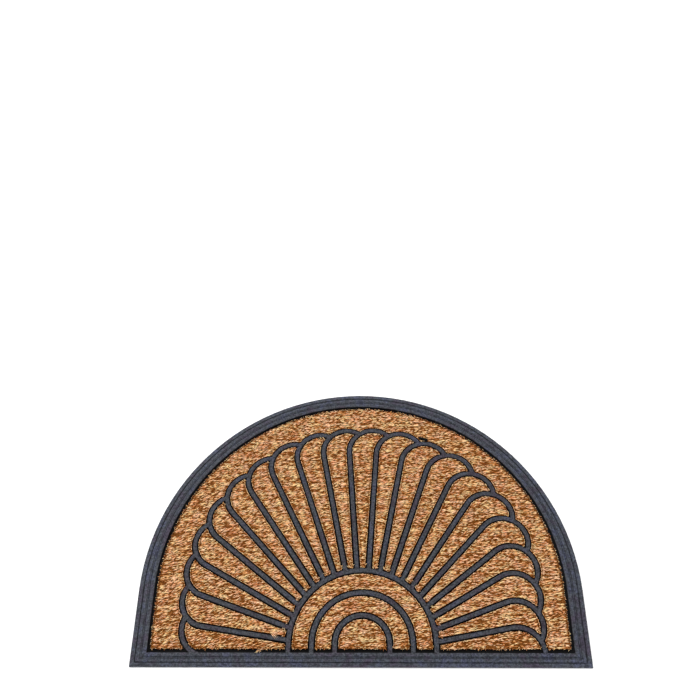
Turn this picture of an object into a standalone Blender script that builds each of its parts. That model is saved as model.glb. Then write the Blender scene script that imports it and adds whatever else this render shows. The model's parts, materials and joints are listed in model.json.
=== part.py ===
"""Half-round doormat, 600 by 400 mm.

A moulded rubber base carries the border, three arches and a fan of hooked ribs. Between
them lie inlays of coir pile, one in each pocket. Metres, +Z up, with the origin on the
floor under the middle of the mat.
"""

import math
from collections import namedtuple

import bmesh
import bpy
from mathutils import Vector
from mathutils.geometry import intersect_line_sphere_2d, intersect_sphere_sphere_2d

# Outline: straight front edge, short straight sides, half circle behind them
MAT_WIDTH = 0.600
MAT_DEPTH = 0.400
FRONT_Y = -MAT_DEPTH / 2
RIM_RADIUS = MAT_WIDTH / 2
RIM_CENTRE = Vector((0.0, FRONT_Y + MAT_DEPTH - RIM_RADIUS))

# Heights above the floor
BACKING_TOP = 0.0025
EDGE_TOP = 0.0030
RUBBER_TOP = 0.0080
COIR_SHOULDER = 0.0064
COIR_TOP = 0.0086

# Border: bands and grooves from the outer edge inwards, then flat as far as the pockets.
# Along the front edge all of them are narrower.
BORDER_WIDTH = 0.0216
FRONT_BORDER_WIDTH = 0.0170
Step = namedtuple("Step", "inset rise")
OUTER_BAND = Step(inset=0.0065, rise=0.0022)
MIDDLE_BAND = Step(inset=0.0066, rise=0.0014)
GROOVE_DOWN = Step(inset=0.0007, rise=-0.0011)
GROOVE_UP = Step(inset=0.0007, rise=0.0013)
LAST_SLOPE = 0.0010

# Arches near the middle of the front edge, each with short straight legs
ARCH_CENTRE = Vector((0.0028, FRONT_Y + 0.0293))
ARCH_RADII = (0.0360, 0.0664, 0.0968)
ARCH_RIB = 0.0057

# Fan: ribs run from the largest arch and hook over clockwise onto the next rib
FAN_RIBS = 20
FAN_RIB = 0.0053
FAN_CENTRE = Vector((0.0022, FRONT_Y + 0.0983))
FAN_RADIUS = 0.2338
HOOK_RADIUS = 0.0340
FIRST_RIB_DEGREES = 177.85
RIB_STEP_DEGREES = 9.31

# Bearings about the arches' centre at which each hook meets the next, from the left.
# The real mat's steps are uneven too.
JOINT_DEGREES = (
    179.5, 171.7, 162.0, 152.4, 142.7, 133.6, 124.6, 116.3, 107.5, 98.9, 90.7,
    82.5, 73.6, 65.5, 56.2, 47.7, 38.5, 28.5, 18.6, 9.8, 0.8, -7.3,
)

# How far an outline stays clear of the ribs, of the border and of the front border, for the
# pockets in the rubber and for the coir in them, which leaves a wider dark gap at the border
Fit = namedtuple("Fit", "rib border front")
POCKET_FIT = Fit(rib=0, border=0, front=0)
INLAY_FIT = Fit(rib=0.0003, border=0.0030, front=0.0037)
FLOOR_GAP = 0.0003
SHOULDER_WIDTH = 0.0020

# How flat an arc's facets are, and how far the pockets' cutter stands out of the rubber
ARC_SAG = 0.00012
CUTTER_OVER = 0.002

RUBBER_COLOUR = (0.058, 0.064, 0.078)
COIR_COLOUR = (0.50, 0.28, 0.115)


def polar(centre, radius, degrees):
    angle = math.radians(degrees)
    return centre + radius * Vector((math.cos(angle), math.sin(angle)))


def bearing(centre, point):
    return math.degrees(math.atan2(point.y - centre.y, point.x - centre.x))


def arc(centre, radius, start, end):
    """Points from one bearing to the other, ends included, flat to within ARC_SAG."""
    widest = 2 * math.degrees(math.acos(1 - ARC_SAG / radius))
    steps = max(1, math.ceil(abs(end - start) / widest))
    return [polar(centre, radius, start + (end - start) * i / steps) for i in range(steps + 1)]


def short_arc(centre, radius, first, last):
    """The arc between two points of a circle, the shorter way round."""
    start = bearing(centre, first)
    turn = (bearing(centre, last) - start + 180) % 360 - 180
    return arc(centre, radius, start, start + turn)


def fan_joint(index):
    """Where hook index - 1 ends on hook index: a bearing of the fan's stilted half circle."""
    degrees = JOINT_DEGREES[index]
    ray = polar(Vector((0, 0)), 1, degrees)
    hits = intersect_line_sphere_2d(ARCH_CENTRE, ARCH_CENTRE + ray, FAN_CENTRE, FAN_RADIUS, False)
    joint = max(hits, key=lambda hit: (hit - ARCH_CENTRE).dot(ray))
    if joint.y < FAN_CENTRE.y:
        side = FAN_CENTRE.x + math.copysign(FAN_RADIUS, ray.x)
        joint = ARCH_CENTRE + ray * ((side - ARCH_CENTRE.x) / ray.x)
    return joint


def circle_meeting(centre, radius, other, other_radius, near):
    hits = intersect_sphere_sphere_2d(centre, radius, other, other_radius)
    return min(hits, key=lambda hit: (hit - near).length)


def circle_at_height(centre, radius, y, side):
    """The point of a circle at this y, on its left with side -1 and its right with 1."""
    return Vector((centre.x + side * math.sqrt(radius**2 - (y - centre.y) ** 2), y))


class Rib:
    """One rib of the fan: a straight run that is tangent to the circle of its hooked tip.

    The circle passes through the joints at both ends of the hook. An offset is measured
    from the rib's middle line, positive on the outer side of the hook.
    """

    def __init__(self, index):
        first, last = fan_joint(index), fan_joint(index + 1)
        half = (last - first) / 2
        inwards = Vector((half.y, -half.x)).normalized()
        depth = math.sqrt(HOOK_RADIUS**2 - half.length_squared)
        self.hook = first + half + inwards * depth
        foot = polar(ARCH_CENTRE, ARCH_RADII[-1], FIRST_RIB_DEGREES - RIB_STEP_DEGREES * (index - 1))
        reach = self.hook - foot
        heading = math.atan2(reach.y, reach.x) + math.asin(HOOK_RADIUS / reach.length)
        self.run = Vector((math.cos(heading), math.sin(heading)))
        self.side = Vector((-self.run.y, self.run.x))

    def bend(self, offset):
        """Where the straight run turns into the hook."""
        return self.hook + self.side * (HOOK_RADIUS + offset)

    def foot(self, offset, arch_edge):
        """Where the straight run meets the largest arch, whose edge has this radius."""
        bend = self.bend(offset)
        hits = intersect_line_sphere_2d(bend - self.run, bend, ARCH_CENTRE, arch_edge, False)
        foot = max(hits, key=lambda hit: (hit - bend).dot(self.run))
        if foot.y < ARCH_CENTRE.y:
            leg = ARCH_CENTRE.x + math.copysign(arch_edge, foot.x - ARCH_CENTRE.x)
            foot = bend + self.run * ((leg - bend.x) / self.run.x)
        return foot


RIBS = [Rib(index) for index in range(FAN_RIBS + 1)]


def front_line(fit):
    """The y of the front border's inner edge, or of coir that stays clear of it."""
    return FRONT_Y + FRONT_BORDER_WIDTH + fit.front


def mat_outline():
    return [
        Vector((-RIM_RADIUS, FRONT_Y)),
        Vector((RIM_RADIUS, FRONT_Y)),
        *arc(RIM_CENTRE, RIM_RADIUS, 0, 180),
    ]


def arch_outline(radius, fit):
    """An arch with straight legs, from its right foot over to its left one."""
    y = front_line(fit)
    return [
        Vector((ARCH_CENTRE.x + radius, y)),
        *arc(ARCH_CENTRE, radius, 0, 180),
        Vector((ARCH_CENTRE.x - radius, y)),
    ]


def centre_outline(fit):
    return arch_outline(ARCH_RADII[0] - ARCH_RIB / 2 - fit.rib, fit)


def band_outline(index, fit):
    """The pocket between arch index and the next larger one."""
    inner = arch_outline(ARCH_RADII[index] + ARCH_RIB / 2 + fit.rib, fit)
    outer = arch_outline(ARCH_RADII[index + 1] - ARCH_RIB / 2 - fit.rib, fit)
    return outer + inner[::-1]


def petal_outline(index, fit):
    """The pocket under hook index: up that rib, over, and down the outside of the next."""
    gap = FAN_RIB / 2 + fit.rib
    arch_edge = ARCH_RADII[-1] + ARCH_RIB / 2 + fit.rib
    y = front_line(fit)
    rib = RIBS[index]
    inner = HOOK_RADIUS - gap
    if index == 0:
        points = []
        start = circle_at_height(rib.hook, inner, y, -1)
    else:
        points = [rib.foot(-gap, arch_edge)]
        start = rib.bend(-gap)
    if index == FAN_RIBS:
        end = circle_at_height(rib.hook, inner, y, 1)
        points += short_arc(rib.hook, inner, start, end)
        return points + [Vector((ARCH_CENTRE.x + arch_edge, y))]
    after = RIBS[index + 1]
    outer = HOOK_RADIUS + gap
    end = circle_meeting(rib.hook, inner, after.hook, outer, fan_joint(index + 1))
    points += short_arc(rib.hook, inner, start, end)
    points += short_arc(after.hook, outer, end, after.bend(gap))[1:]
    points.append(after.foot(gap, arch_edge))
    if index == 0:
        return points + [Vector((ARCH_CENTRE.x - arch_edge, y))]
    return points + short_arc(ARCH_CENTRE, arch_edge, points[-1], points[0])[1:-1]


def surround_outline(fit):
    """The horseshoe between the hooks and the border."""
    outer = HOOK_RADIUS + FAN_RIB / 2 + fit.rib
    rim = RIM_RADIUS - BORDER_WIDTH - fit.border
    y = front_line(fit)
    valleys = [circle_at_height(RIBS[0].hook, outer, y, -1)]
    for index, (rib, after) in enumerate(zip(RIBS, RIBS[1:])):
        valleys.append(circle_meeting(rib.hook, outer, after.hook, outer, fan_joint(index + 1)))
    valleys.append(circle_at_height(RIBS[-1].hook, outer, y, 1))
    points = [Vector((-rim, y)), valleys[0]]
    for rib, first, last in zip(RIBS, valleys, valleys[1:]):
        points += short_arc(rib.hook, outer, first, last)[1:]
    return points + [Vector((rim, y)), *arc(RIM_CENTRE, rim, 0, 180)]


def field_outlines(fit):
    """The outline of every pocket, or of the coir in it, by the name of its inlay."""
    outlines = {
        "coir_centre": centre_outline(fit),
        "coir_band_inner": band_outline(0, fit),
        "coir_band_outer": band_outline(1, fit),
        "coir_surround": surround_outline(fit),
    }
    for index in range(FAN_RIBS + 1):
        outlines[f"coir_petal_{index + 1:02d}"] = petal_outline(index, fit)
    return outlines


def add_slab(bm, outline, bottom, top):
    """A straight-sided slab on the outline; its top face is returned."""
    face = bm.faces.new([bm.verts.new((point.x, point.y, bottom)) for point in outline])
    raised = bmesh.ops.extrude_face_region(bm, geom=[face])["geom"]
    lifted = [item for item in raised if isinstance(item, bmesh.types.BMVert)]
    bmesh.ops.translate(bm, verts=lifted, vec=(0, 0, top - bottom))
    bmesh.ops.recalc_face_normals(bm, faces=bm.faces[:])
    return next(item for item in raised if isinstance(item, bmesh.types.BMFace))


def step_in(bm, face, step):
    """Insets the slab's top face and moves it up or down, which leaves a sloped band."""
    bmesh.ops.inset_region(
        bm, faces=[face], thickness=step.inset, depth=step.rise, use_even_offset=True
    )


def narrow_front(face, inset):
    """Moves the front edge of the slab's top out to where the front border has it."""
    for vert in sorted(face.verts, key=lambda vert: vert.co.y)[:2]:
        vert.co.y = FRONT_Y + inset * FRONT_BORDER_WIDTH / BORDER_WIDTH


def mesh_object(name, bm, collection):
    mesh = bpy.data.meshes.new(name)
    bm.to_mesh(mesh)
    bm.free()
    obj = bpy.data.objects.new(name, mesh)
    collection.objects.link(obj)
    return obj


def new_material(name, colour, roughness):
    material = bpy.data.materials.new(name)
    material.use_nodes = True
    shader = material.node_tree.nodes["Principled BSDF"]
    shader.inputs["Base Color"].default_value = (*colour, 1)
    shader.inputs["Roughness"].default_value = roughness
    shader.inputs["Metallic"].default_value = 0
    material.diffuse_color = (*colour, 1)
    return material


def border_steps():
    """The border's section, with a last slope up to the ribs' own height."""
    steps = [OUTER_BAND, GROOVE_DOWN, GROOVE_UP, MIDDLE_BAND, GROOVE_DOWN, GROOVE_UP]
    left = RUBBER_TOP - EDGE_TOP - sum(step.rise for step in steps)
    return [*steps, Step(inset=LAST_SLOPE, rise=left)]


def make_pocket_cutter(collection):
    bm = bmesh.new()
    for outline in field_outlines(POCKET_FIT).values():
        add_slab(bm, outline, BACKING_TOP, RUBBER_TOP + CUTTER_OVER)
    cutter = mesh_object("pocket_cutter", bm, collection)
    cutter.hide_render = True
    cutter.display_type = "WIRE"
    return cutter


def make_rubber(collection, cutter, material):
    """Backing, border and ribs in one: a stepped slab with the pockets cut out of its top."""
    bm = bmesh.new()
    top = add_slab(bm, mat_outline(), 0, EDGE_TOP)
    inset = 0
    for step in border_steps():
        step_in(bm, top, step)
        inset += step.inset
        narrow_front(top, inset)
    rubber = mesh_object("rubber_moulding", bm, collection)
    rubber.data.materials.append(material)
    pockets = rubber.modifiers.new("pockets", "BOOLEAN")
    pockets.operation = "DIFFERENCE"
    pockets.solver = "EXACT"
    pockets.object = cutter
    return rubber


def make_inlays(collection, material):
    """One slab of pile for each pocket, its top edge trimmed back beside the rubber."""
    shoulder = Step(inset=SHOULDER_WIDTH, rise=COIR_TOP - COIR_SHOULDER)
    inlays = []
    for name, outline in field_outlines(INLAY_FIT).items():
        bm = bmesh.new()
        top = add_slab(bm, outline, BACKING_TOP + FLOOR_GAP, COIR_SHOULDER)
        step_in(bm, top, shoulder)
        inlay = mesh_object(name, bm, collection)
        inlay.data.materials.append(material)
        inlays.append(inlay)
    return inlays


def clear_scene():
    for obj in list(bpy.data.objects):
        bpy.data.objects.remove(obj, do_unlink=True)


def new_collection(name):
    collection = bpy.data.collections.new(name)
    bpy.context.scene.collection.children.link(collection)
    return collection


def main():
    clear_scene()
    parts = new_collection("half_round_doormat")
    cutters = new_collection("cutters")
    cutters.hide_render = True
    origin = bpy.data.objects.new("doormat_origin", None)
    parts.objects.link(origin)
    cutter = make_pocket_cutter(cutters)
    rubber = make_rubber(parts, cutter, new_material("rubber", RUBBER_COLOUR, roughness=0.55))
    inlays = make_inlays(parts, new_material("coir", COIR_COLOUR, roughness=0.9))
    for piece in [rubber, *inlays]:
        piece.parent = origin


main()
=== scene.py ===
"""Half-round doormat: the finish of the rubber, the coir pile and the stage.

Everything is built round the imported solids, in their own frame: metres, +Z up, the origin
on the floor under the middle of the mat.
"""

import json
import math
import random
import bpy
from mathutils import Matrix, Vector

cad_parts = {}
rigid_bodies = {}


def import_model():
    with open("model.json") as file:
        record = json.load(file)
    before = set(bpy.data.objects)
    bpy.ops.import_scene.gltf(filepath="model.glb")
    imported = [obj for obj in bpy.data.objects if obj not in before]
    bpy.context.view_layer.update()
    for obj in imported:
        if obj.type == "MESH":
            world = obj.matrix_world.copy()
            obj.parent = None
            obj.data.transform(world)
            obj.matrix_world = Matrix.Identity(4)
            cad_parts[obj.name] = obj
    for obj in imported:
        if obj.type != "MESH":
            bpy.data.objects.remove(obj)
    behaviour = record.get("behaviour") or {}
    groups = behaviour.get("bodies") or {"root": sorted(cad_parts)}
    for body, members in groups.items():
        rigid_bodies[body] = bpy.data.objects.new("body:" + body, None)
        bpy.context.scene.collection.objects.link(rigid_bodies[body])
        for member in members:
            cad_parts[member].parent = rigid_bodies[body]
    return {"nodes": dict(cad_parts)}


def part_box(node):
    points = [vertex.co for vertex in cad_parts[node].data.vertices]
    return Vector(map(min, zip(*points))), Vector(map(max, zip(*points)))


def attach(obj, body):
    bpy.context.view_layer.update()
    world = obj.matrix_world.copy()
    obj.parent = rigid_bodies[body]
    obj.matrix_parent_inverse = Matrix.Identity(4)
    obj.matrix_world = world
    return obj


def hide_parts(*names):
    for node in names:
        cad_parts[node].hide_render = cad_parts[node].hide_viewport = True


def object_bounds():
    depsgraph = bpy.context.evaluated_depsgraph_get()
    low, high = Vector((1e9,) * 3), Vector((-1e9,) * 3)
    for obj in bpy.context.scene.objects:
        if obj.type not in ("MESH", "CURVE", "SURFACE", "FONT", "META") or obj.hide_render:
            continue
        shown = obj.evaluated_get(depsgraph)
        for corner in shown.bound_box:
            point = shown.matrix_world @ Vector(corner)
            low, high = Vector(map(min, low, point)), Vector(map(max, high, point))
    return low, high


bl_info = {
    "name": "Half-round doormat",
    "version": (1, 0, 0),
    "blender": (4, 5, 0),
    "location": "View3D > Sidebar > Doormat",
    "description": "Rubber moulding, coir pile and stage of a half-round doormat",
    "category": "Object",
}

from collections import namedtuple

import bmesh
import bpy
from bpy.props import FloatProperty, FloatVectorProperty, IntProperty, PointerProperty
from mathutils import Matrix, Vector, noise
from mathutils.bvhtree import BVHTree

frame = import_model()
CAD_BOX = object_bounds()

BODY = "root"
RUBBER_NODE = "rubber_moulding"
COIR_NODES = sorted(name for name in frame["nodes"] if name.startswith("coir_"))
RUBBER_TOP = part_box(RUBBER_NODE)[1].z
PILE_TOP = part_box(COIR_NODES[0])[1].z
LEVEL_NORMAL = 0.99

# The mat as it was cut: its bounding rectangle and the half-round area in it
FLAT_SIZE = (0.600, 0.400)
STRAIGHT_SIDE = FLAT_SIZE[1] - FLAT_SIZE[0] / 2

# The border's width at the sides and in front, and where its two grooves run, as shares of it
BORDER_WIDTH = 0.0216
FRONT_BORDER_WIDTH = 0.0170
GROOVES = (0.300, 0.606)
# The grooves are dark lines of painted shade, this wide on each side and this bright in the middle
GROOVE_HALF_WIDTH = 0.050
GROOVE_BRIGHTNESS = 0.18

# The rubber's flat top starts this far in from the mat's outline, at the sides and in front
FLAT_INSET = 0.0175
FLAT_FRONT_INSET = 0.0140

# Painted shade: how dark the ribs are, and the hollow beside the border, where the foot of a pocket
# is 1
RIB_SHADE = 0.10
HOLLOW_SHADE = 0.55

# The rubber's skin: patches of tint, blotches in them, and a slow unevenness of the surface
PATCH_SIZE = 0.016
BLOTCH_SIZE = 0.0028
FLOW_SIZE = 0.004

# The moulding's edges are rounded in a few steps, from this angle on. Shading stays crisp
# from these angles on, on the moulding and on its small pieces.
EDGE_STEPS = 3
ROUNDED_FROM = math.radians(25)
CRISP_FROM = math.radians(40)
SMALL_CRISP_FROM = math.radians(50)

# A seam of the mould crosses the border near its highest point
SEAM_FOOT = Vector((0.0035, 0.1782))
SEAM_HEAD = Vector((-0.0020, 0.1996))
SEAM_WIDTH = 0.0010
SEAM_RISE = 0.0004
SEAM_STEPS = 60
# The seam is darkened with painted shade, given as a depth on the scale of the hollows
SEAM_SHADE = 0.20

# A bead of rubber that ran over a rib's edge: its middle, its three sizes and how it is
# turned. Its middle lies under the rib's top by a share of its height, and it is lumpy.
BEAD_PLACE = Vector((0.0940, 0.1240))
BEAD_SIZE = Vector((0.0150, 0.0046, 0.0044))
BEAD_TURN = math.radians(-16)
BEAD_SUNK = 0.15
BEAD_SWELL = 0.22
BEAD_LUMPINESS = 3.1
# The bead is made near black with painted shade, as deep as a pocket's foot
BEAD_SHADE = 1.0

# Each piece of pile grows on a group of inlays, from its west limit to its east limit
Group = namedtuple("Group", "nodes west east", defaults=(-1.0, 1.0))
PETALS = [name for name in COIR_NODES if name.startswith("coir_petal_")]
PILE_GROUPS = {
    "coir_pile_arches": Group(["coir_centre", "coir_band_inner", "coir_band_outer"]),
    "coir_pile_petals_west": Group(PETALS[:6]),
    "coir_pile_petals_north_west": Group(PETALS[6:10]),
    "coir_pile_petals_north_east": Group(PETALS[10:14]),
    "coir_pile_petals_east": Group(PETALS[14:]),
    "coir_pile_surround_west": Group(["coir_surround"], east=0.0),
    "coir_pile_surround_east": Group(["coir_surround"], west=0.0),
}
GROUP_SEED_STEP = 100

# The bed lies this far under the pile's top, and is felted from strands of this size
BED_DEPTH = 0.0024
STRAND_SIZE = 0.0009
STRAND_STRETCH = (0.35, 1.0, 1.0)

# Pile that starts less than this far in from the mat's outline frays over the hollow there
FRINGE_INSET = 0.029

# A lock is a few cut fibres that cling together. Shares of its length say where fibres
# start and end, how high their tips and knees are, and where the knee is.
LOCKS = 6
FIBRES_IN_LOCK = 4
ROOT_AT = (-0.08, 0.12)
TIP_AT = (0.82, 1.10)
TIP_RISE = (-0.04, 0.06)
KNEE_AT = 0.45
KNEE_RISE = 0.09
KNEE_VARIES = (0.5, 1.4)

# Roots and knees spread by these shares of what tips do, and fibres differ in tone
ROOT_SPREAD = 0.6
KNEE_SPREAD = 0.5
LOCK_SHADES = (-0.10, 0.10)

# Tufts pulled out of the pile, over a rib and over the hollow in front. Their fibres differ
# in height, length and tone, and stray aside by a share of their length.
Tuft = namedtuple("Tuft", "place heading turns length fibres spread tone")
TUFTS = [
    Tuft(Vector((-0.1165, -0.1570)), math.radians(-45), 0.10, 0.0115, 16, 0.0016, 0.86),
    Tuft(Vector((-0.1325, -0.1785)), math.radians(-90), 1.60, 0.0040, 22, 0.0032, 0.98),
]
TUFT_HEIGHTS = (-0.0008, 0.0004)
TUFT_LENGTHS = (0.7, 1.1)
TUFT_SHADES = (-0.12, 0.12)
TUFT_FIBRE_SPREAD = 0.10

# Rows of pile wander slowly. The gaps between them are narrow and come and go in patches,
# and the pile is thinner there.
ROW_WANDER = 0.006
ROW_WANDER_SIZE = 0.03
GAP_SHARPNESS = 3.0
GAP_PATCH_SIZE = 0.02
GAP_PATCH_GAIN = 2.4
GAP_PATCH_SHIFT = -0.2
GAP_LEAST = 0.2
GAP_THINNING = 0.5
LEAST_DENSITY = 0.2

# The pile is brushed another way towards the left end, over this distance from the middle.
# Patches of it swirl, and each lock is off by a little.
LEAN_REACH = 0.2
SWIRL_SIZE = 0.006
SWIRL_TURN = 0.7
SCATTER = 0.20

# Edges of a bed with a sharper crease than this, and higher than this share of the pile's
# top, carry a rim. Its locks follow the edge and turn little. In the fringe they point out
# of the bed and turn more.
RIM_CREASE = 0.8
RIM_HEIGHT = 0.6
RIM_TURN = 0.25
FRINGE_EXTRA_TURN = 1.0

# A lock's length varies round the mean one. These shares of it are left on a rim, in the
# fringe, and where a lock fits its bed neither way. Rim locks are also slimmer by a share.
LENGTH_VARIES = (0.6, 1.4)
RIM_LENGTH = 0.48
FRINGE_LENGTHS = (0.05, 0.55)
CRAMPED_LENGTH = 0.35
RIM_SLIMMING = 0.3

# Locks rise from their roots at these angles, droop in the fringe and are rolled at random
RISES = (0.05, 0.40)
FRINGE_DROOP = 1.8
ROLL = 0.7

# Where a lock ends is probed from this far above, to see whether its own bed is there
PROBE_HEIGHT = 0.05

# Locks sink into the pile by up to this depth, and small clumps of them stand proud
SINK_DEPTH = 0.0014
CLUMP_SIZE = 0.0018
CLUMP_STRETCH = (0.35, 1.0, 1.0)
CLUMP_RISE = 0.003

# A lock's tone: the middle one, and how much each of its traits adds to it
MIDDLE_TONE = 1.02
TONE_SHARES = {
    "clumps": 0.45,
    "streaks": 0.5,
    "courses": 0.14,
    "drift": 0.3,
    "chance": 0.80,
    # Sunk locks and locks in the gaps between rows are darkened: painted shade
    "sunk": -0.30,
    "gap": -0.2,
    "edge": 0.12,
    "fringe": -0.15,
}

# Streaks of tone run along the mat, and its drift is a slow change from place to place
STREAK_SIZE = 0.0015
STREAK_STRETCH = (0.06, 1.0, 1.0)
DRIFT_SIZE = 0.045

# The tone changes a little along a fibre and more from row to row, in bands of painted shade and
# light, and the hue in patches
ALONG_SIZE = 0.0010
ALONG_STRETCH = (0.3, 1.0, 1.0)
ALONG_SHARE = 0.25
FIBRE_ROW_SIZE = 0.0026
FIBRE_ROW_STRETCH = (0.14, 1.0, 0.0)
FIBRE_ROW_SHARE = 1.8
HUE_SIZE = 0.011

# The floor lies a hair under the mat, and its colour changes a little in wide clouds
FLOOR_HEIGHT = CAD_BOX[0][2] - 0.0001
FLOOR_CLOUD_SIZE = 0.4

# A soft light high up behind the mat's left end, turned to its middle
KEY_SIZE = (1.6, 1.2)
KEY_PLACE = Vector((-0.9, 0.9, 1.9))

# Where the camera stands and how it is turned: pitch from straight down, then yaw and roll
CAMERA_PLACE = Vector((0.0033, -0.4456, 1.1717))
CAMERA_PITCH = math.radians(31.95)
CAMERA_YAW = math.radians(1.48)
CAMERA_ROLL = math.radians(-1.41)
SENSOR_WIDTH = 36
NEAR_LIMIT = 0.01


class RubberSettings(bpy.types.PropertyGroup):
    colour: FloatVectorProperty(
        name="Colour", description="Slate colour of the rubber", subtype="COLOR",
        default=(0.0340, 0.0340, 0.0455), min=0, max=1,
    )
    edge_radius: FloatProperty(
        name="Edge radius", description="Radius of the moulded edges", unit="LENGTH",
        default=0.0008, min=0.0001, max=0.002,
    )
    grain: FloatProperty(
        name="Grain", description="Size of the fine pits in the rubber", unit="LENGTH",
        default=0.0007, min=0.0001, max=0.01,
    )


class CoirSettings(bpy.types.PropertyGroup):
    row_pitch: FloatProperty(
        name="Row pitch", description="Distance between rows of tufts", unit="LENGTH",
        default=0.0068, min=0.002, max=0.02,
    )
    row_depth: FloatProperty(
        name="Row depth", description="How far the pile sinks between rows", unit="LENGTH",
        default=0.0012, min=0, max=0.004,
    )
    lock_length: FloatProperty(
        name="Lock length", description="Mean length of a lock of cut fibres",
        unit="LENGTH", default=0.0052, min=0.001, max=0.02,
    )
    lock_width: FloatProperty(
        name="Lock width", description="How far a lock's fibres spread", unit="LENGTH",
        default=0.00052, min=0.0001, max=0.01,
    )
    fibre_width: FloatProperty(
        name="Fibre width", description="Thickness of a fibre at its knee", unit="LENGTH",
        default=0.00038, min=0.0001, max=0.002,
    )
    rim_spacing: FloatProperty(
        name="Rim spacing", description="Distance between the locks along an inlay's edge",
        unit="LENGTH", default=0.0012, min=0.0001, max=0.01,
    )
    locks_per_square_mm: FloatProperty(
        name="Locks per square millimetre", description="How densely the pile is planted",
        default=0.33, min=0.01, max=2,
    )
    lean: FloatProperty(
        name="Lean", description="The way in which most of the pile is brushed",
        subtype="ANGLE", default=math.radians(7), min=-math.pi, max=math.pi,
    )
    lean_west: FloatProperty(
        name="Lean at the left end", description="The way in which the pile is brushed there",
        subtype="ANGLE", default=math.radians(18), min=-math.pi, max=math.pi,
    )
    seed: IntProperty(
        name="Seed", description="Start value of the pile's random choices", default=7, min=0,
    )


class StageSettings(bpy.types.PropertyGroup):
    floor_size: FloatProperty(
        name="Floor size", description="Side of the floor", unit="LENGTH", default=6.0, min=1,
    )
    floor_colour: FloatVectorProperty(
        name="Floor colour", description="Colour of the plain floor", subtype="COLOR",
        default=(0.90, 0.90, 0.90), min=0, max=1,
    )
    key_power: FloatProperty(
        name="Key light", description="Power of the soft light overhead", unit="POWER",
        default=21.0, min=0,
    )
    sky_strength: FloatProperty(
        name="Sky", description="Strength of the even light all round", default=1.45, min=0,
    )
    lens: FloatProperty(
        name="Lens", description="Focal length of the camera, in millimetres",
        default=44.66, min=10, max=200,
    )


def shown_socket(sockets, name):
    """The socket of that name that is in use, out of a node's ones for each data type."""
    return next(item for item in sockets if item.enabled and item.name == name)


class Tree:
    """A node tree with short ways to add nodes and wire them.

    Each kind of tree sets the place where its noise is read.
    """

    def __init__(self, tree):
        self.tree = tree

    def node(self, kind, inputs=None, **settings):
        node = self.tree.nodes.new(kind)
        for name, value in settings.items():
            setattr(node, name, value)
        for name, value in (inputs or {}).items():
            socket = node.inputs[name] if isinstance(name, int) else shown_socket(node.inputs, name)
            self.feed(socket, value)
        return node

    def feed(self, socket, value):
        if isinstance(value, bpy.types.NodeSocket):
            self.tree.links.new(value, socket)
        else:
            socket.default_value = value

    def math(self, operation, first, second=0.0, third=0.0, clamp=False):
        node = self.node("ShaderNodeMath", operation=operation, use_clamp=clamp)
        for socket, value in zip(node.inputs, (first, second, third)):
            self.feed(socket, value)
        return node.outputs["Value"]

    def split(self, vector):
        """The X, Y and Z of a vector."""
        return self.node("ShaderNodeSeparateXYZ", {"Vector": vector}).outputs

    def noise(self, size, detail=2.0, roughness=0.5, vector=None):
        """Cloudy noise of about this size, at the tree's own place if no other is given."""
        node = self.node(
            "ShaderNodeTexNoise",
            {
                "Vector": vector or self.place,
                "Scale": 1 / size,
                "Detail": detail,
                "Roughness": roughness,
            },
        )
        return node.outputs["Fac"]

    def insets(self, apart):
        """How far in a place lies from the round edge and from the front one.

        The third value is how far behind the round edge's centre it lies, and 0 in front.
        """
        (west, south, _), (east, _, _) = CAD_BOX
        round_y = self.math("SUBTRACT", apart["Y"], south + STRAIGHT_SIDE)
        round_y = self.math("MAXIMUM", round_y, 0.0)
        squares = self.math("MULTIPLY", apart["X"], apart["X"])
        squares = self.math("MULTIPLY_ADD", round_y, round_y, squares)
        from_round = self.math("SUBTRACT", (east - west) / 2, self.math("SQRT", squares))
        from_front = self.math("SUBTRACT", apart["Y"], south)
        return from_round, from_front, round_y


class ShaderTree(Tree):
    """The nodes of one material, round its Principled shader."""

    def __init__(self, name):
        self.material = bpy.data.materials.new(name)
        self.material.use_nodes = True
        super().__init__(self.material.node_tree)
        self.shader = self.tree.nodes["Principled BSDF"]
        self.place = self.node("ShaderNodeTexCoord").outputs["Object"]

    def stretched(self, factors):
        """The place, with each of its axes multiplied by a factor."""
        node = self.node("ShaderNodeMapping", {"Vector": self.place, "Scale": factors})
        return node.outputs["Vector"]

    def attribute(self, name):
        return self.node("ShaderNodeAttribute", attribute_name=name).outputs["Fac"]

    def ramp(self, value, stops):
        node = self.node("ShaderNodeValToRGB", {"Fac": value})
        elements = node.color_ramp.elements
        while len(elements) < len(stops):
            elements.new(0.5)
        for element, (position, colour) in zip(elements, stops):
            element.position = position
            element.color = (*colour, 1)
        return node.outputs["Color"]

    def multiply(self, first, second):
        node = self.node("ShaderNodeMix", data_type="RGBA", blend_type="MULTIPLY")
        self.feed(shown_socket(node.inputs, "Factor"), 1.0)
        self.feed(shown_socket(node.inputs, "A"), first)
        self.feed(shown_socket(node.inputs, "B"), second)
        return shown_socket(node.outputs, "Result")

    def into_border(self):
        """How far a place lies in from the mat's outline, as a share of the border's width."""
        from_round, from_front, _ = self.insets(self.split(self.place))
        return self.math(
            "MINIMUM",
            self.math("MULTIPLY", from_round, 1 / BORDER_WIDTH),
            self.math("MULTIPLY", from_front, 1 / FRONT_BORDER_WIDTH),
        )

    def bump(self, height, distance, strength=1.0, normal=None):
        inputs = {"Height": height, "Distance": distance, "Strength": strength}
        if normal is not None:
            inputs["Normal"] = normal
        return self.node("ShaderNodeBump", inputs).outputs["Normal"]

    def finish(self, **sockets):
        """Feeds the shader's sockets, with _ for each space in their names."""
        for name, value in sockets.items():
            self.feed(self.shader.inputs[name.replace("_", " ")], value)
        return self.material


def grey(value):
    return (value, value, value)


def scaled(colour, factors):
    return tuple(min(1.0, channel * factor) for channel, factor in zip(colour, factors))


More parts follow.
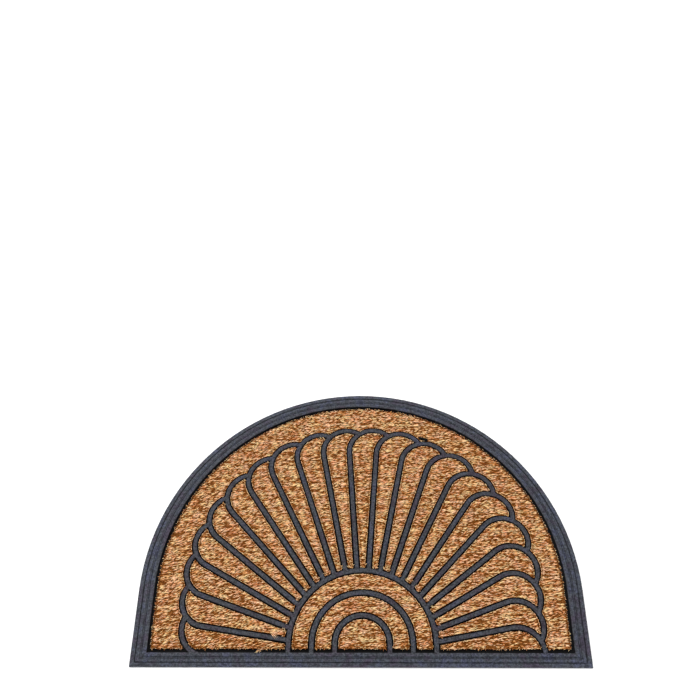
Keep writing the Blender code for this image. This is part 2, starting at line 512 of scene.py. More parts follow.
def groove_shade_stops():
    """The ramp across the border: full brightness, with a dark line of painted shade at each groove.
    """
    stops = [(0.0, grey(1.0))]
    for groove in GROOVES:
        stops.append((groove - GROOVE_HALF_WIDTH, grey(1.0)))
        stops.append((groove, grey(GROOVE_BRIGHTNESS)))
        stops.append((groove + GROOVE_HALF_WIDTH, grey(1.0)))
    return stops


def make_rubber_material(settings):
    """Slate rubber with a fine pitted skin and cloudy bluish patches, with painted shade that makes
    it near black in the hollows, darker on the ribs and dark along the border's grooves.
    """
    tree = ShaderTree("moulded_rubber")
    base = settings.colour
    patches = tree.noise(PATCH_SIZE, detail=4.0, roughness=0.6)
    blotches = tree.noise(BLOTCH_SIZE, detail=3.0, roughness=0.7)
    pits = tree.noise(settings.grain, detail=3.0, roughness=0.7)
    colour = tree.ramp(
        patches,
        [
            (0.36, scaled(base, (0.92, 0.78, 0.90))),
            (0.50, scaled(base, (0.95, 1.08, 0.98))),
            (0.64, scaled(base, (1.05, 1.15, 1.40))),
        ],
    )
    flecks = tree.ramp(pits, [(0.38, (0.66, 0.66, 0.68)), (0.64, (1.45, 1.45, 1.42))])
    colour = tree.multiply(colour, flecks)
    clouds = tree.ramp(blotches, [(0.42, (0.50, 0.50, 0.51)), (0.59, grey(1.56))])
    colour = tree.multiply(colour, clouds)
    # Painted shade: a dark line along each of the border's grooves
    colour = tree.multiply(colour, tree.ramp(tree.into_border(), groove_shade_stops()))
    # Painted shade: the deeper a point lies, the darker it is, near black in the pockets
    hollow = tree.attribute("hollow")
    shade = tree.ramp(
        hollow,
        [
            (0.0, grey(1.0)),
            (0.10, (0.86, 0.82, 0.76)),
            (0.24, (0.18, 0.16, 0.14)),
            (0.60, (0.05, 0.04, 0.03)),
        ],
    )
    colour = tree.multiply(colour, shade)
    dullness = tree.ramp(patches, [(0.2, grey(0.50)), (0.8, grey(0.62))])
    dullness = tree.math("ADD", dullness, tree.math("MULTIPLY", hollow, 0.4), clamp=True)
    flow = tree.bump(tree.noise(FLOW_SIZE), distance=0.00025, strength=0.5)
    normal = tree.bump(pits, distance=0.00012, strength=0.6, normal=flow)
    return tree.finish(
        Base_Color=colour, Roughness=dullness, Specular_IOR_Level=0.14, Normal=normal
    )


def make_bed_material(bed_top):
    """The dark, matted foot of the pile that shows between the fibres, with painted shade that
    darkens its walls towards their foot.
    """
    tree = ShaderTree("coir_bed")
    strands = tree.stretched(STRAND_STRETCH)
    felt = tree.noise(STRAND_SIZE, detail=3.0, roughness=0.65, vector=strands)
    colour = tree.ramp(
        felt,
        [(0.30, (0.026, 0.008, 0.001)), (0.51, (0.120, 0.038, 0.007)), (0.70, (0.310, 0.120, 0.030))],
    )
    # Painted shade: the bed's walls grow darker towards their foot
    height = tree.math("MULTIPLY", tree.split(tree.place)["Z"], 1 / bed_top)
    colour = tree.multiply(colour, tree.ramp(height, [(0.85, grey(0.12)), (1.0, grey(1.0))]))
    normal = tree.bump(felt, distance=0.0005, strength=0.8)
    return tree.finish(Base_Color=colour, Roughness=0.85, Specular_IOR_Level=0.02, Normal=normal)


def make_fibre_material():
    """Coconut fibre, from brown through tan to straw, each fibre with a tone of its own."""
    tree = ShaderTree("coir_fibre")
    tone = tree.math("ADD", tree.attribute("tone"), tree.attribute("own_tone"))
    along = tree.noise(ALONG_SIZE, vector=tree.stretched(ALONG_STRETCH))
    along = tree.math("SUBTRACT", along, 0.5)
    tone = tree.math("ADD", tone, tree.math("MULTIPLY", along, ALONG_SHARE))
    # Bands of painted shade and light from row to row
    rows = tree.noise(FIBRE_ROW_SIZE, detail=1.0, vector=tree.stretched(FIBRE_ROW_STRETCH))
    rows = tree.math("SUBTRACT", rows, 0.5)
    tone = tree.math("ADD", tone, tree.math("MULTIPLY", rows, FIBRE_ROW_SHARE))
    colour = tree.ramp(
        tone,
        [
            (0.04, (0.070, 0.016, 0.002)),
            (0.26, (0.340, 0.092, 0.013)),
            (0.50, (0.650, 0.272, 0.096)),
            (0.74, (0.960, 0.510, 0.240)),
            (0.97, (1.000, 0.770, 0.480)),
        ],
    )
    hue = tree.noise(HUE_SIZE)
    hue = tree.ramp(hue, [(0.38, (1.05, 0.93, 0.94)), (0.62, (1.04, 1.04, 0.86))])
    colour = tree.multiply(colour, hue)
    return tree.finish(Base_Color=colour, Roughness=0.62, Specular_IOR_Level=0.03)


def mesh_from(bm, name):
    """A mesh of that name with the bmesh's shape; the bmesh is freed."""
    mesh = bpy.data.meshes.new(name)
    bm.to_mesh(mesh)
    bm.free()
    return mesh


def new_piece(mesh, material=None):
    """An object of the mesh's own name, at the origin."""
    piece = bpy.data.objects.new(mesh.name, mesh)
    bpy.context.scene.collection.objects.link(piece)
    if material is not None:
        mesh.materials.clear()
        mesh.materials.append(material)
    return piece


def settle(piece, node=None):
    """Makes a piece ride on the mat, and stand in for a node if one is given."""
    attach(piece, BODY)
    if node is not None:
        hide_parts(node)
    return piece


def apply_modifiers(piece):
    """Turns what the piece's modifiers make of it into its own plain mesh."""
    shaped = bpy.data.meshes.new_from_object(
        piece.evaluated_get(bpy.context.evaluated_depsgraph_get())
    )
    piece.modifiers.clear()
    piece.data = shaped


def merged_copy(node):
    """The node's solid as a bmesh, its loose triangles merged into whole faces."""
    bm = bmesh.new()
    bm.from_mesh(frame["nodes"][node].data)
    bmesh.ops.remove_doubles(bm, verts=bm.verts[:], dist=1e-6)
    bmesh.ops.dissolve_limit(
        bm, angle_limit=math.radians(0.5), verts=bm.verts[:], edges=bm.edges[:]
    )
    return bm


def make_rubber(settings):
    """The moulding with its edges rounded, as they leave the mould."""
    mesh = mesh_from(merged_copy(RUBBER_NODE), "rubber_mat")
    piece = new_piece(mesh, make_rubber_material(settings))
    edges = piece.modifiers.new("edges", "BEVEL")
    edges.width = settings.edge_radius
    edges.segments = EDGE_STEPS
    edges.limit_method = "ANGLE"
    edges.angle_limit = ROUNDED_FROM
    edges.harden_normals = False
    apply_modifiers(piece)
    piece.data.shade_smooth()
    piece.data.set_sharp_from_angle(angle=CRISP_FROM)
    paint_hollow_shade(piece.data, settings.edge_radius)
    return settle(piece, RUBBER_NODE)


def paint_hollow_shade(mesh, edge_radius):
    """Stores how deep each point lies, for painted shade: 0 on the border, a little on the ribs, 1 in
    a pocket.
    """
    (west, south, _), (east, _, _) = CAD_BOX
    middle_y = south + STRAIGHT_SIDE
    hollow = mesh.attributes.new("hollow", "FLOAT", "POINT")
    for vert, value in zip(mesh.vertices, hollow.data):
        x, y, z = vert.co
        inset = (east - west) / 2 - math.hypot(x - (west + east) / 2, max(0, y - middle_y))
        in_border = inset < FLAT_INSET or y - south < FLAT_FRONT_INSET
        deepest = HOLLOW_SHADE if min(inset, y - south) < FRINGE_INSET else 1.0
        depth = min(deepest, RIB_SHADE + max(0, RUBBER_TOP - z) / edge_radius)
        value.value = 0.0 if in_border else depth


def small_rubber_piece(name, bm, material, hollow):
    """A closed piece of the moulding's own rubber, darkened with painted shade as if it lay at the
    given depth.
    """
    depth = bm.verts.layers.float.new("hollow")
    for vert in bm.verts:
        vert[depth] = hollow
    bmesh.ops.recalc_face_normals(bm, faces=bm.faces[:])
    mesh = mesh_from(bm, name)
    mesh.shade_smooth()
    mesh.set_sharp_from_angle(angle=SMALL_CRISP_FROM)
    return settle(new_piece(mesh, material))


def make_seam(rubber, material):
    """A thin ridge that follows the steps of the border from its inner to its outer edge."""
    surface = BVHTree.FromObject(rubber, bpy.context.evaluated_depsgraph_get())
    across = (SEAM_HEAD - SEAM_FOOT).normalized().orthogonal() * SEAM_WIDTH / 2
    bm = bmesh.new()
    sections = []
    for step in range(SEAM_STEPS + 1):
        place = SEAM_FOOT.lerp(SEAM_HEAD, step / SEAM_STEPS)
        top = surface.ray_cast(Vector((*place, 1)), Vector((0, 0, -1)))[0]
        low = top.z - SEAM_RISE
        points = [(*(place - across), low), (*place, top.z + SEAM_RISE), (*(place + across), low)]
        sections.append([bm.verts.new(point) for point in points])
    for first, second in zip(sections, sections[1:]):
        for corner in range(3):
            after = (corner + 1) % 3
            bm.faces.new((first[corner], first[after], second[after], second[corner]))
    bm.faces.new(sections[0])
    bm.faces.new(sections[-1])
    return small_rubber_piece("mould_seam", bm, material, SEAM_SHADE)


def make_bead(material):
    """A flattened drop of rubber, uneven along its length."""
    bm = bmesh.new()
    bmesh.ops.create_icosphere(bm, subdivisions=4, radius=0.5)
    for vert in bm.verts:
        swell = 1 + BEAD_SWELL * noise.noise(vert.co * BEAD_LUMPINESS)
        vert.co = Vector((a * b for a, b in zip(vert.co * swell, BEAD_SIZE)))
    place = Matrix.Translation((*BEAD_PLACE, RUBBER_TOP - BEAD_SIZE.z * BEAD_SUNK))
    bm.transform(place @ Matrix.Rotation(BEAD_TURN, 4, "Z"))
    return small_rubber_piece("rubber_bead", bm, material, BEAD_SHADE)


def make_bed(node, top, material):
    """The foot of one inlay's pile: the inlay's level top, lowered, and walls down from it."""
    bm = merged_copy(node)
    low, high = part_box(node)
    middle_z = (low.z + high.z) / 2
    level = {
        face for face in bm.faces
        if face.normal.z > LEVEL_NORMAL and face.calc_center_median().z > middle_z
    }
    bmesh.ops.delete(bm, geom=[face for face in bm.faces if face not in level], context="FACES")
    for vert in bm.verts:
        vert.co.z = top
    walls = bmesh.ops.extrude_face_region(bm, geom=bm.faces[:], use_keep_orig=True)["geom"]
    lowered = [item for item in walls if isinstance(item, bmesh.types.BMVert)]
    bmesh.ops.translate(bm, verts=lowered, vec=(0, 0, low.z - top))
    bmesh.ops.recalc_face_normals(bm, faces=bm.faces[:])
    return settle(new_piece(mesh_from(bm, node + "_bed"), material), node)


def add_fibre(bm, draw, shades, spread, radius):
    """One bent fibre, about one unit long, with three sides and pointed ends.

    Gives its points, each of which holds the fibre's own tone.
    """
    shade = draw.uniform(*shades)
    root = Vector((draw.uniform(*ROOT_AT), draw.uniform(-1, 1) * spread * ROOT_SPREAD, 0))
    tip = Vector((draw.uniform(*TIP_AT), draw.uniform(-1, 1) * spread, draw.uniform(*TIP_RISE)))
    aside = draw.uniform(-1, 1) * spread * KNEE_SPREAD
    knee = root.lerp(tip, KNEE_AT) + Vector((0, aside, KNEE_RISE * draw.uniform(*KNEE_VARIES)))
    ends = [bm.verts.new(root), bm.verts.new(tip)]
    ring = []
    for turn in range(3):
        angle = math.tau * turn / 3
        out = Vector((0, radius * math.cos(angle), radius * math.sin(angle)))
        ring.append(bm.verts.new(knee + out))
    for first, second in zip(ring, ring[1:] + ring[:1]):
        bm.faces.new((ends[0], second, first))
        bm.faces.new((ends[1], first, second))
    own_tone = bm.verts.layers.float["own_tone"]
    for vert in ends + ring:
        vert[own_tone] = shade
    return ends + ring


def make_tufts(settings, material):
    """The few tufts that stand out of the pile, fibre by fibre."""
    bm = bmesh.new()
    bm.verts.layers.float.new("own_tone")
    tone = bm.verts.layers.float.new("tone")
    draw = random.Random(settings.seed)
    for tuft in TUFTS:
        radius = settings.fibre_width / tuft.length / 2
        for _ in range(tuft.fibres):
            fibre = add_fibre(bm, draw, TUFT_SHADES, TUFT_FIBRE_SPREAD, radius)
            aside = Vector((draw.uniform(-1, 1), draw.uniform(-1, 1), 0)) * tuft.spread
            base = Vector((*tuft.place, PILE_TOP + draw.uniform(*TUFT_HEIGHTS))) + aside
            heading = tuft.heading + draw.uniform(-1, 1) * tuft.turns
            place = Matrix.Translation(base) @ Matrix.Rotation(heading, 4, "Z")
            size = Matrix.Scale(tuft.length * draw.uniform(*TUFT_LENGTHS), 4)
            bmesh.ops.transform(bm, matrix=place @ size, verts=fibre)
            for vert in fibre:
                vert[tone] = tuft.tone
    bmesh.ops.recalc_face_normals(bm, faces=bm.faces[:])
    mesh = mesh_from(bm, "coir_tufts")
    mesh.shade_smooth()
    return settle(new_piece(mesh, material))


def make_lock_stock(settings):
    """Locks of short bent fibres, one unit long, from which the pile picks at random."""
    stock = bpy.data.collections.new("lock_stock")
    bpy.context.scene.collection.children.link(stock)
    draw = random.Random(settings.seed)
    radius = settings.fibre_width / settings.lock_length / 2
    spread = settings.lock_width / settings.lock_length / 2
    for index in range(LOCKS):
        bm = bmesh.new()
        bm.verts.layers.float.new("own_tone")
        for _ in range(FIBRES_IN_LOCK):
            add_fibre(bm, draw, LOCK_SHADES, spread, radius)
        bmesh.ops.recalc_face_normals(bm, faces=bm.faces[:])
        mesh = mesh_from(bm, f"lock_{index}")
        mesh.shade_smooth()
        stock.objects.link(bpy.data.objects.new(mesh.name, mesh))
    return stock


def remove_stock(stock):
    for lock in list(stock.objects):
        bpy.data.objects.remove(lock, do_unlink=True)
    bpy.data.collections.remove(stock)


class PileTree(Tree):
    """The node tree that plants locks of fibres on a bed."""

    INPUTS = (
        ("Bed", "NodeSocketGeometry"),
        ("Locks", "NodeSocketCollection"),
        ("Density", "NodeSocketFloat"),
        ("Length", "NodeSocketFloat"),
        ("Lean", "NodeSocketFloat"),
        ("Lean West", "NodeSocketFloat"),
        ("West", "NodeSocketFloat"),
        ("East", "NodeSocketFloat"),
        ("Fringe Inset", "NodeSocketFloat"),
        ("Rim Spacing", "NodeSocketFloat"),
        ("Row Pitch", "NodeSocketFloat"),
        ("Row Depth", "NodeSocketFloat"),
        ("Pile Top", "NodeSocketFloat"),
        ("Seed", "NodeSocketInt"),
        ("Material", "NodeSocketMaterial"),
    )
    ROOT_VALUES = ("heading", "edge", "fringe")

    def __init__(self):
        super().__init__(bpy.data.node_groups.new("coir_pile", "GeometryNodeTree"))
        interface = self.tree.interface
        for name, kind in self.INPUTS:
            interface.new_socket(name, in_out="INPUT", socket_type=kind)
        interface.new_socket("Pile", in_out="OUTPUT", socket_type="NodeSocketGeometry")
        self.given = self.node("NodeGroupInput").outputs
        self.place = self.node("GeometryNodeInputPosition").outputs["Position"]
        self.apart = self.split(self.place)
        self.draws = 0
        self.turns, self.gap = self.rows()
        roots = self.join(self.rim_roots(), self.field_roots())
        self.heading, self.edge, self.fringe = (self.named(name) for name in self.ROOT_VALUES)
        self.plant(roots)

    def random(self, low, high):
        """A random number for each lock, each call with a seed of its own."""
        self.draws += 1
        seed = self.math("ADD", self.given["Seed"], float(self.draws))
        node = self.node(
            "FunctionNodeRandomValue", {"Min": low, "Max": high, "Seed": seed}, data_type="FLOAT"
        )
        return shown_socket(node.outputs, "Value")

    def vector(self, x, y, z):
        return self.node("ShaderNodeCombineXYZ", {"X": x, "Y": y, "Z": z}).outputs["Vector"]

    def combine(self, operation, first, second):
        node = self.node("ShaderNodeVectorMath", operation=operation)
        self.feed(node.inputs[0], first)
        self.feed(node.inputs[1], second)
        return node.outputs["Vector"]

    def above(self, first, second):
        node = self.node(
            "FunctionNodeCompare",
            {"A": first, "B": second},
            data_type="FLOAT",
            operation="GREATER_THAN",
        )
        return node.outputs["Result"]

    def choose(self, test, no, yes):
        node = self.node("GeometryNodeSwitch", input_type="FLOAT")
        self.feed(shown_socket(node.inputs, "Switch"), test)
        self.feed(shown_socket(node.inputs, "False"), no)
        self.feed(shown_socket(node.inputs, "True"), yes)
        return shown_socket(node.outputs, "Output")

    def store(self, geometry, name, value, domain):
        node = self.node(
            "GeometryNodeStoreNamedAttribute",
            {"Geometry": geometry, "Name": name, "Value": value},
            data_type="FLOAT",
            domain=domain,
        )
        return node.outputs["Geometry"]

    def named(self, name):
        node = self.node("GeometryNodeInputNamedAttribute", {"Name": name}, data_type="FLOAT")
        return shown_socket(node.outputs, "Attribute")

    def rows(self):
        """How many rows away a place lies, and how deep it is in the gap between two rows."""
        wander = self.math("MULTIPLY", self.noise(ROW_WANDER_SIZE, detail=1.0), ROW_WANDER)
        turns = self.math("ADD", self.apart["Y"], wander)
        turns = self.math("DIVIDE", turns, self.given["Row Pitch"])
        wave = self.math("COSINE", self.math("MULTIPLY", turns, math.tau))
        gap = self.math("POWER", self.math("MULTIPLY_ADD", wave, -0.5, 0.5), GAP_SHARPNESS)
        patchy = self.noise(GAP_PATCH_SIZE, detail=1.0)
        patchy = self.math("MULTIPLY_ADD", patchy, GAP_PATCH_GAIN, GAP_PATCH_SHIFT)
        return turns, self.math("MULTIPLY", gap, self.math("MAXIMUM", patchy, GAP_LEAST))

    def field_roots(self):
        """Roots strewn over the bed's level top, thinner in the gaps, with a brushed heading."""
        given = self.given
        normal = self.node("GeometryNodeInputNormal").outputs["Normal"]
        level = self.above(self.split(normal)["Z"], LEVEL_NORMAL)
        thinned = self.math("MULTIPLY_ADD", self.gap, -GAP_THINNING, 1.0)
        thinned = self.math("MAXIMUM", thinned, LEAST_DENSITY)
        density = self.math("MULTIPLY", given["Density"], thinned)
        points = self.node(
            "GeometryNodeDistributePointsOnFaces",
            {"Mesh": given["Bed"], "Selection": level, "Density": density, "Seed": given["Seed"]},
            distribute_method="RANDOM",
        ).outputs["Points"]
        west_share = self.math("MULTIPLY", self.apart["X"], -1 / LEAN_REACH, clamp=True)
        change = self.math("SUBTRACT", given["Lean West"], given["Lean"])
        lean = self.math("MULTIPLY_ADD", change, west_share, given["Lean"])
        swirl = self.math("SUBTRACT", self.noise(SWIRL_SIZE, detail=1.5), 0.5)
        heading = self.math("MULTIPLY_ADD", swirl, SWIRL_TURN, lean)
        return self.store(points, "heading", heading, "POINT")

    def rim_roots(self):
        """Roots along the bed's top edges: locks follow a rib, or hang out over the hollow."""
        given = self.given
        crease = self.node("GeometryNodeInputMeshEdgeAngle").outputs["Unsigned Angle"]
        sharp = self.above(crease, RIM_CREASE)
        high = self.above(self.apart["Z"], self.math("MULTIPLY", given["Pile Top"], RIM_HEIGHT))
        both = self.node("FunctionNodeBooleanMath", {0: sharp, 1: high}, operation="AND")
        curve = self.node(
            "GeometryNodeMeshToCurve", {"Mesh": given["Bed"], "Selection": both.outputs["Boolean"]}
        ).outputs["Curve"]
        rim = self.node(
            "GeometryNodeCurveToPoints",
            {"Curve": curve, "Length": given["Rim Spacing"]},
            mode="LENGTH",
        ).outputs
        tangent = self.split(rim["Tangent"])
        along = self.math("ARCTAN2", tangent["Y"], tangent["X"])
        inset, outward = self.outline()
        fringe = self.math("LESS_THAN", inset, given["Fringe Inset"])
        heading = self.choose(fringe, along, outward)
        turn = self.math("MULTIPLY_ADD", fringe, FRINGE_EXTRA_TURN, RIM_TURN)
        heading = self.math("MULTIPLY_ADD", self.random(-1.0, 1.0), turn, heading)
        points = rim["Points"]
        for name, value in zip(self.ROOT_VALUES, (heading, 1.0, fringe)):
            points = self.store(points, name, value, "POINT")
        return points

    def outline(self):
        """How far in from the mat's outline a place lies, and the heading straight out."""
        from_round, from_front, round_y = self.insets(self.apart)
        is_front = self.math("LESS_THAN", from_front, from_round)
        outward = self.math("ARCTAN2", round_y, self.apart["X"])
        outward = self.choose(is_front, outward, -math.pi / 2)
        return self.math("MINIMUM", from_round, from_front), outward

    def join(self, rim, field):
        """All roots between the piece's limits, each with a number of its own for chance."""
        joined = self.node("GeometryNodeJoinGeometry")
        self.feed(joined.inputs["Geometry"], rim)
        self.feed(joined.inputs["Geometry"], field)
        index = self.node("GeometryNodeInputIndex").outputs["Index"]
        points = self.node(
            "GeometryNodeSetID", {"Geometry": joined.outputs["Geometry"], "ID": index}
        ).outputs["Geometry"]
        west = self.math("LESS_THAN", self.apart["X"], self.given["West"])
        east = self.math("GREATER_THAN", self.apart["X"], self.given["East"])
        outside = self.math("MAXIMUM", west, east)
        node = self.node(
            "GeometryNodeDeleteGeometry", {"Geometry": points, "Selection": outside}, domain="POINT"
        )
        return node.outputs["Geometry"]

    def over_bed(self, angle, reach):
        """Whether a lock that points this way still ends over its own bed."""
        step = self.vector(
            self.math("MULTIPLY", self.math("COSINE", angle), reach),
            self.math("MULTIPLY", self.math("SINE", angle), reach),
            PROBE_HEIGHT,
        )
        ray = self.node(
            "GeometryNodeRaycast",
            {
                "Target Geometry": self.given["Bed"],
                "Source Position": self.combine("ADD", self.place, step),
                "Ray Direction": (0.0, 0.0, -1.0),
                "Ray Length": 2 * PROBE_HEIGHT,
            },
        )
        return ray.outputs["Is Hit"]

    def aim(self, length, rise):
        """The way each lock points and the share of its length that is left.

        Away from the fringe, a lock that would leave its bed is turned round.
        """
        side = self.math("MULTIPLY", self.math("ROUND", self.random(0.0, 1.0)), math.pi)
        side = self.choose(self.fringe, side, 0.0)
        angle = self.math("ADD", side, self.heading)
        angle = self.math("ADD", angle, self.random(-SCATTER, SCATTER))
        reach = self.math("MULTIPLY", length, self.math("COSINE", rise))
        ahead = self.over_bed(angle, reach)
        back = self.math("ADD", angle, math.pi)
        behind = self.over_bed(back, reach)
        angle = self.choose(self.fringe, self.choose(ahead, back, angle), angle)
        field = self.choose(ahead, self.choose(behind, CRAMPED_LENGTH, 1.0), 1.0)
        rim = self.choose(self.fringe, RIM_LENGTH, self.random(*FRINGE_LENGTHS))
        return angle, self.choose(self.edge, field, rim)

    def lift(self, points, rise, length, sunk, clumps):
        """Moves each root so far up or down that its lock's tip is at the pile's top there."""
        given = self.given
        climb = self.math("MAXIMUM", self.math("MULTIPLY", self.math("SINE", rise), length), 0.0)
        dip = self.math("MULTIPLY", self.gap, given["Row Depth"])
        top = self.math("SUBTRACT", given["Pile Top"], dip)
        top = self.math("SUBTRACT", top, self.math("MULTIPLY", sunk, SINK_DEPTH))
        top = self.math("MULTIPLY_ADD", clumps, CLUMP_RISE, top)
        height = self.math("SUBTRACT", self.math("SUBTRACT", top, climb), self.apart["Z"])
        node = self.node(
            "GeometryNodeSetPosition", {"Geometry": points, "Offset": self.vector(0.0, 0.0, height)}
        )
        return node.outputs["Geometry"]

    def plant(self, roots):
        """A lock on each root, with its tone, as plain fibres of the pile's material."""
        given = self.given
        length = self.math("MULTIPLY", given["Length"], self.random(*LENGTH_VARIES))
        droop = self.math("MULTIPLY_ADD", self.fringe, -FRINGE_DROOP, 1.0)
        rise = self.math("MULTIPLY", self.random(*RISES), droop)
        angle, share = self.aim(length, rise)
        slim = self.math("MULTIPLY_ADD", self.edge, -RIM_SLIMMING, 1.0)
        width = self.math("MULTIPLY", length, slim)
        length = self.math("MULTIPLY", length, share)
        sunk = self.random(0.0, 1.0)
        clumps = self.combine("MULTIPLY", self.place, CLUMP_STRETCH)
        clumps = self.math("SUBTRACT", self.noise(CLUMP_SIZE, vector=clumps), 0.5)
        stock = self.node(
            "GeometryNodeCollectionInfo",
            {"Collection": given["Locks"], "Separate Children": True, "Reset Children": True},
        ).outputs["Instances"]
        roll = self.random(-ROLL, ROLL)
        pile = self.node(
            "GeometryNodeInstanceOnPoints",
            {
                "Points": self.lift(roots, rise, length, sunk, clumps),
                "Instance": stock,
                "Pick Instance": True,
                "Rotation": self.vector(roll, self.math("MULTIPLY", rise, -1.0), angle),
                "Scale": self.vector(length, width, width),
            },
        ).outputs["Instances"]
        pile = self.store(pile, "tone", self.tone(sunk, clumps), "INSTANCE")
        pile = self.node("GeometryNodeRealizeInstances", {"Geometry": pile}).outputs["Geometry"]
        for name in self.ROOT_VALUES:
            pile = self.node(
                "GeometryNodeRemoveAttribute", {"Geometry": pile, "Name": name}
            ).outputs["Geometry"]
        pile = self.node(
            "GeometryNodeSetMaterial", {"Geometry": pile, "Material": given["Material"]}
        ).outputs["Geometry"]
        self.node("NodeGroupOutput", {"Pile": pile})

    def tone(self, sunk, clumps):
        """How light each lock is: the middle tone and what each of its traits adds. Sinking and the
        gaps between rows add painted shade.
        """
        streaks = self.combine("MULTIPLY", self.place, STREAK_STRETCH)
        streaks = self.noise(STREAK_SIZE, detail=1.0, vector=streaks)
        traits = {
            "clumps": clumps,
            "streaks": self.math("SUBTRACT", streaks, 0.5),
            "courses": self.math("COSINE", self.math("MULTIPLY", self.turns, math.pi)),
            "drift": self.math("SUBTRACT", self.noise(DRIFT_SIZE), 0.5),
            "chance": self.random(-0.5, 0.5),
            "sunk": sunk,
            "gap": self.gap,
            "edge": self.edge,
            "fringe": self.fringe,
        }
        tone = MIDDLE_TONE
        for name, share in TONE_SHARES.items():
            tone = self.math("MULTIPLY_ADD", traits[name], share, tone)
        return tone


def set_inputs(modifier, values):
    """Sets a Geometry Nodes modifier's inputs by the names that its tree gives them."""
    for item in modifier.node_group.interface.items_tree:
        if item.in_out == "INPUT" and item.name in values:
            modifier[item.identifier] = values[item.name]


def make_pile(name, group, beds, tree, inputs):
    """Plants the fibres of one group of beds and keeps them as a plain mesh."""
    bm = bmesh.new()
    for node in group.nodes:
        bm.from_mesh(beds[node].data)
    piece = new_piece(mesh_from(bm, name))
    pile = piece.modifiers.new("pile", "NODES")
    pile.node_group = tree
    set_inputs(pile, {**inputs, "West": group.west, "East": group.east})
    apply_modifiers(piece)
    if not piece.data.polygons:
        raise RuntimeError(name + " has no fibres")
    return settle(piece)


class DOORMAT_OT_rubber(bpy.types.Operator):
    """Mould the rubber: backing, stepped border, arches and the fan of ribs"""

    bl_idname = "doormat.rubber"
    bl_label = "Mould rubber"

    def execute(self, context):
        piece = make_rubber(context.scene.doormat_rubber)
        if not piece.data.polygons:
            raise RuntimeError("the rubber moulding has no faces")
        material = piece.data.materials[0]
        make_seam(piece, material)
        make_bead(material)
        return {"FINISHED"}


class DOORMAT_OT_coir(bpy.types.Operator):
    """Lay a bed in each pocket and plant the coir pile on it"""

    bl_idname = "doormat.coir"
    bl_label = "Plant coir pile"

    def execute(self, context):
        settings = context.scene.doormat_coir
        bed_top = PILE_TOP - BED_DEPTH
        bed_material = make_bed_material(bed_top)
        beds = {node: make_bed(node, bed_top, bed_material) for node in COIR_NODES}
        density = settings.locks_per_square_mm * 1e6
        tree = PileTree().tree
        inputs = {
            "Locks": make_lock_stock(settings),
            "Density": density,
            "Length": settings.lock_length,
            "Lean": settings.lean,
            "Lean West": settings.lean_west,
            "Fringe Inset": FRINGE_INSET,
            "Rim Spacing": settings.rim_spacing,
            "Row Pitch": settings.row_pitch,
            "Row Depth": settings.row_depth,
            "Pile Top": PILE_TOP,
            "Material": make_fibre_material(),
        }
        for step, (name, group) in enumerate(PILE_GROUPS.items()):
            inputs["Seed"] = settings.seed + GROUP_SEED_STEP * step
            make_pile(name, group, beds, tree, inputs)
        make_tufts(settings, inputs["Material"])
        remove_stock(inputs["Locks"])
        return {"FINISHED"}


class DOORMAT_OT_stage(bpy.types.Operator):
    """Set the floor, the soft light and the camera"""

    bl_idname = "doormat.stage"
    bl_label = "Set stage"

    def execute(self, context):
        settings = context.scene.doormat_stage
        make_floor(settings)
        make_lights(settings)
        make_camera(settings)
        return {"FINISHED"}


def make_camera(settings):
    data = bpy.data.cameras.new("camera")
    data.lens = settings.lens
    data.sensor_width = SENSOR_WIDTH
    data.clip_start = NEAR_LIMIT
    camera = bpy.data.objects.new("camera", data)
    turn = (
        Matrix.Rotation(CAMERA_YAW, 4, "Z")
        @ Matrix.Rotation(CAMERA_PITCH, 4, "X")
        @ Matrix.Rotation(CAMERA_ROLL, 4, "Z")
    )
    camera.matrix_world = Matrix.Translation(CAMERA_PLACE) @ turn
    bpy.context.scene.collection.objects.link(camera)
    bpy.context.scene.camera = camera


def make_floor(settings):
    bm = bmesh.new()
    place = Matrix.Translation((0, 0, FLOOR_HEIGHT))
    bmesh.ops.create_grid(
        bm, x_segments=1, y_segments=1, size=settings.floor_size / 2, matrix=place
    )
    tree = ShaderTree("plain_floor")
    base = settings.floor_colour
    stops = [(0.3, scaled(base, grey(0.99))), (0.7, scaled(base, grey(1.01)))]
    shade = tree.ramp(tree.noise(FLOOR_CLOUD_SIZE), stops)
    material = tree.finish(Base_Color=shade, Roughness=0.8)
    new_piece(mesh_from(bm, "floor"), material)


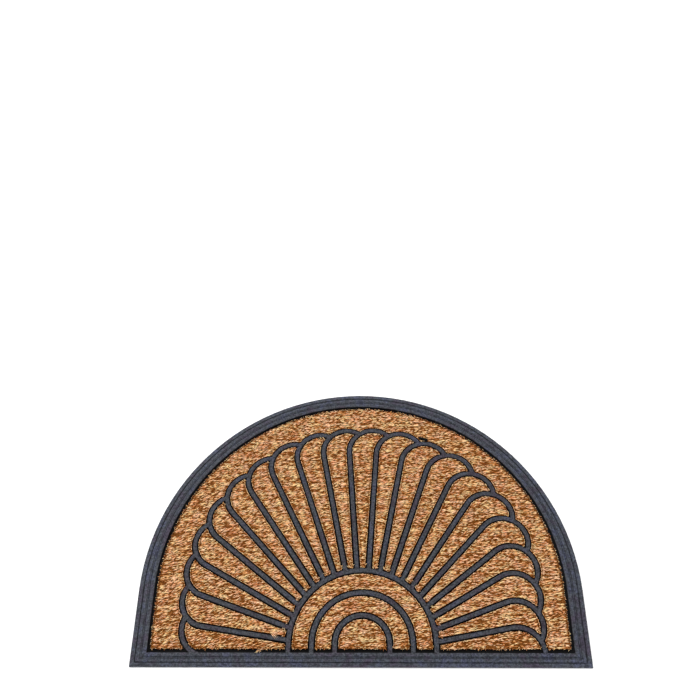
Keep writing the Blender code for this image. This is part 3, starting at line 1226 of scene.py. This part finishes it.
def make_lights(settings):
    world = bpy.data.worlds.new("studio")
    world.use_nodes = True
    sky = world.node_tree.nodes["Background"]
    sky.inputs["Color"].default_value = (1, 1, 1, 1)
    sky.inputs["Strength"].default_value = settings.sky_strength
    bpy.context.scene.world = world
    data = bpy.data.lights.new("key", "AREA")
    data.energy = settings.key_power
    data.shape = "RECTANGLE"
    data.size, data.size_y = KEY_SIZE
    key = bpy.data.objects.new("key", data)
    key.location = KEY_PLACE
    key.rotation_euler = (-KEY_PLACE).to_track_quat("-Z", "Y").to_euler()
    bpy.context.scene.collection.objects.link(key)
    bpy.context.scene.view_settings.view_transform = "Standard"


class DOORMAT_PT_panel(bpy.types.Panel):
    """Lists the doormat's steps and their settings"""

    bl_idname = "DOORMAT_PT_panel"
    bl_label = "Half-round doormat"
    bl_space_type = "VIEW_3D"
    bl_region_type = "UI"
    bl_category = "Doormat"

    def draw(self, context):
        for settings, operator in STEPS.items():
            box = self.layout.box()
            group = getattr(context.scene, settings)
            for name in group.__annotations__:
                box.prop(group, name)
            box.operator(operator.bl_idname)


SETTINGS = {
    "doormat_rubber": RubberSettings,
    "doormat_coir": CoirSettings,
    "doormat_stage": StageSettings,
}
STEPS = {
    "doormat_rubber": DOORMAT_OT_rubber,
    "doormat_coir": DOORMAT_OT_coir,
    "doormat_stage": DOORMAT_OT_stage,
}


def register():
    for name, group in SETTINGS.items():
        bpy.utils.register_class(group)
        setattr(bpy.types.Scene, name, PointerProperty(type=group))
    for operator in STEPS.values():
        bpy.utils.register_class(operator)
    bpy.utils.register_class(DOORMAT_PT_panel)


def unregister():
    bpy.utils.unregister_class(DOORMAT_PT_panel)
    for operator in STEPS.values():
        bpy.utils.unregister_class(operator)
    for name, group in SETTINGS.items():
        delattr(bpy.types.Scene, name)
        bpy.utils.unregister_class(group)


def main():
    for item in list(bpy.data.objects):
        if item.type in {"CAMERA", "LIGHT"} or item.name == "Cube":
            bpy.data.objects.remove(item, do_unlink=True)
    register()
    bpy.ops.doormat.rubber()
    bpy.ops.doormat.coir()
    bpy.ops.doormat.stage()


if __name__ == "__main__":
    main()
